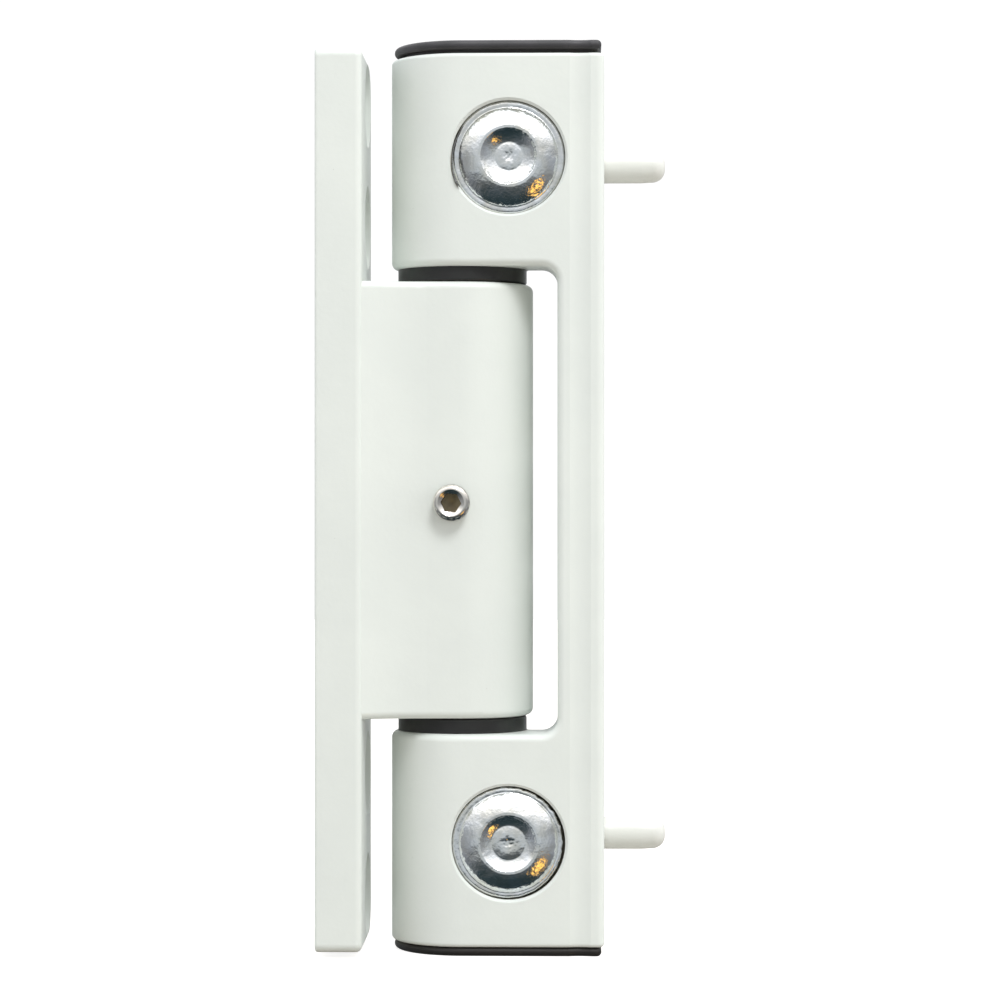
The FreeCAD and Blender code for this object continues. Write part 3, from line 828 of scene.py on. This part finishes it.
def make_screw():
    low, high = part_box("grub_screw")
    screw_r, length = (high.x - low.x) / 2 / MM, (high.y - low.y) / MM
    floor_rings, mouth_rings = socket_rings()
    rings = floor_rings + mouth_rings + list(thread_rings(screw_r, length))
    axis_point = Vector((screw_axis.x, low.y, screw_axis.z))
    screw = skin_of_rings("clamp_screw_threaded", rings, SCREW_SIDES, axis_point, [stainless, oiled_socket],
                          inner_rings=len(floor_rings))
    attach(screw, "clamp_screw")
    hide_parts("grub_screw")


make_screw()

# %% [markdown]
# The floor is a plain pale sheet just under the lower cap. It is a little warm, so the undersides pick up a
# warm bounce. Seen directly it is lifted towards white, so that the hinge stands in a clean light field,
# and it is left out of glossy reflections, so that the plated studs keep a dark lower half.

# %% floor
FLOOR_HALF, FLOOR_GAP = 1200.0 * MM, 0.02 * MM
FLOOR_LIGHT, FLOOR_SHADE = (0.59, 0.55, 0.50, 1), (0.56, 0.52, 0.47, 1)
FLOOR_LIFT, FLOOR_ROUGHNESS = 0.85, 0.8
FLOOR_TILES = 24
WHITE = (1, 1, 1, 1)

floor_finish, tree, shader = start_finish("pale_floor", metallic=0.0)
tone = use(tree, tone_drift, {"Light": FLOOR_LIGHT, "Shade": FLOOR_SHADE, "Patch mm": 60.0})
tree.links.new(tone.outputs["Colour"], shader.inputs["Base Color"])
shader.inputs["Roughness"].default_value = FLOOR_ROUGHNESS
shader.inputs["Emission Color"].default_value = WHITE
seen_directly = tree.nodes.new("ShaderNodeLightPath").outputs["Is Camera Ray"]
tree.links.new(calculate(tree, "MULTIPLY", seen_directly, FLOOR_LIFT), shader.inputs["Emission Strength"])

sheet = bmesh.new()
bmesh.ops.create_grid(sheet, x_segments=FLOOR_TILES, y_segments=FLOOR_TILES, size=FLOOR_HALF)
floor = object_of("floor", sheet, [floor_finish])
floor.location = (pin.x, pin.y, design_box[0].z - FLOOR_GAP)
floor.visible_glossy = False

# %% [markdown]
# The light is a white tent with a soft lamp high in front. The tent is the world: bright above and at the
# sides, most of all on the right, grey ahead and dark below. That spread is what shades the matt surfaces.

# %% tent of light
TENT_BELOW, TENT_AHEAD = (0.055, 0.06, 0.062, 1), (0.39, 0.40, 0.41, 1)
TENT_LEFT, TENT_RIGHT = (1.50, 1.55, 1.64, 1), (1.95, 1.96, 1.95, 1)
TENT_TOP = (0.85, 0.87, 0.89, 1)
RISE, SIDES_START = (-0.05, 0.40), (0.50, 0.95)
FLOOR_LINE, TOP_START = (-0.25, 0.05), (0.45, 0.95)

world = bpy.data.worlds.new("tent")
bpy.context.scene.world = world
world.use_nodes = True
tree = world.node_tree
tree.nodes.clear()
direction = tree.nodes.new("ShaderNodeTexCoord").outputs["Generated"]
axes = tree.nodes.new("ShaderNodeSeparateXYZ")
tree.links.new(direction, axes.inputs[0])
aside, up = axes.outputs["X"], axes.outputs["Z"]
rising = spread(tree, up, *RISE)
sideways = spread(tree, calculate(tree, "ABSOLUTE", aside), *SIDES_START)
above_floor = spread(tree, up, *FLOOR_LINE)
overhead = spread(tree, up, *TOP_START)
side_cloth = blend_colours(tree, calculate(tree, "GREATER_THAN", aside, 0.0), TENT_LEFT, TENT_RIGHT)
tent = blend_colours(tree, rising, TENT_BELOW, TENT_AHEAD)
tent = blend_colours(tree, calculate(tree, "MULTIPLY", sideways, above_floor), tent, side_cloth)
tent = blend_colours(tree, overhead, tent, TENT_TOP)
print("tent brightness from", min(TENT_BELOW[:3]), "to", max(TENT_RIGHT[:3]))

# %% [markdown]
# Reflections show the cloth itself, in the satin coat as in the bright studs. It falls in bands from a
# bright top to a dark teal floor, and at the sides it turns grey low down. Each band is given by how far up
# it lies, from -1 straight down to 1 straight up.

# %% cloth in the reflections
CLOTH = [(-1.0, (0.020, 0.034, 0.040)), (-0.72, (0.034, 0.052, 0.058)), (-0.38, (0.13, 0.14, 0.148)),
         (-0.16, (0.52, 0.55, 0.56)), (0.22, (0.66, 0.68, 0.69)), (0.44, (1.0, 1.0, 1.0)),
         (0.62, (1.6, 1.6, 1.6))]
GREY_SIDES = (0.26, 0.27, 0.29, 1)
GREY_FADES, GREY_SHARE = (0.05, 0.45), 0.75

ramp_place = tree.nodes.new("ShaderNodeMapRange")
ramp_place.inputs["From Min"].default_value = -1.0
tree.links.new(up, ramp_place.inputs["Value"])
bands = tree.nodes.new("ShaderNodeValToRGB")
tree.links.new(ramp_place.outputs["Result"], bands.inputs["Fac"])
while len(bands.color_ramp.elements) < len(CLOTH):
    bands.color_ramp.elements.new(0.5)
for element, (height, shade) in zip(bands.color_ramp.elements, CLOTH):
    element.position = (height + 1) / 2
    element.color = (*shade, 1)
low_down = spread(tree, up, *GREY_FADES, GREY_SHARE, 0.0)
low_sides = calculate(tree, "MULTIPLY", sideways, low_down)
cloth = blend_colours(tree, low_sides, bands.outputs["Color"], GREY_SIDES)
print("cloth has", len(CLOTH), "bands")

# %% [markdown]
# One small warm glow, low in front on the right, puts the amber glints on the studs. Seen directly the tent
# is plain white, so every ray asks what kind it is: one from the camera gets white, one from a glossy
# reflection gets the cloth, and the rest get the tent.

# %% the tent put together
WARM_LAMP = Vector((0.57, -0.62, -0.53)).normalized()
WARM_GLOW = (2.3, 1.25, 0.28, 1)
GLOW_EDGE = (0.982, 0.998)
BACKDROP = (1.05, 1.05, 1.05, 1)

rays = tree.nodes.new("ShaderNodeLightPath").outputs
colour = blend_colours(tree, rays["Is Glossy Ray"], tent, cloth)
glow = spread(tree, calculate_vector(tree, "DOT_PRODUCT", direction, WARM_LAMP), *GLOW_EDGE)
colour = blend_colours(tree, glow, colour, WARM_GLOW)
colour = blend_colours(tree, rays["Is Camera Ray"], colour, BACKDROP)
background = tree.nodes.new("ShaderNodeBackground")
tree.links.new(colour, background.inputs["Color"])
surface = tree.nodes.new("ShaderNodeOutputWorld")
tree.links.new(background.outputs[0], surface.inputs["Surface"])
print("warm lamp towards", [round(value, 2) for value in WARM_LAMP])

# %% [markdown]
# The soft lamp is an area light, up in front and a little to the right. It brightens the edges that face up
# and draws the soft shadow under the clamp screw.

# %% soft lamp
LAMP_REACH = 0.90
LAMP_UP, LAMP_ASIDE = math.radians(53), math.radians(24)
LAMP_WIDTH, LAMP_HEIGHT, LAMP_WATTS = 0.36, 0.28, 4.80

lamp = bpy.data.objects.new("soft_lamp", bpy.data.lights.new("soft_lamp", "AREA"))
bpy.context.scene.collection.objects.link(lamp)
lamp.data.shape = "RECTANGLE"
lamp.data.size, lamp.data.size_y = LAMP_WIDTH, LAMP_HEIGHT
lamp.data.energy = LAMP_WATTS
level_reach = math.cos(LAMP_UP)
toward_lamp = Vector((level_reach * math.sin(LAMP_ASIDE), -level_reach * math.cos(LAMP_ASIDE),
                      math.sin(LAMP_UP)))
lamp.location = pin + LAMP_REACH * toward_lamp
lamp.rotation_euler = (pin - lamp.location).to_track_quat("-Z", "Y").to_euler()
bpy.context.scene.view_settings.view_transform = "Standard"
print("lamp at", [round(value / MM) for value in lamp.location], "mm")
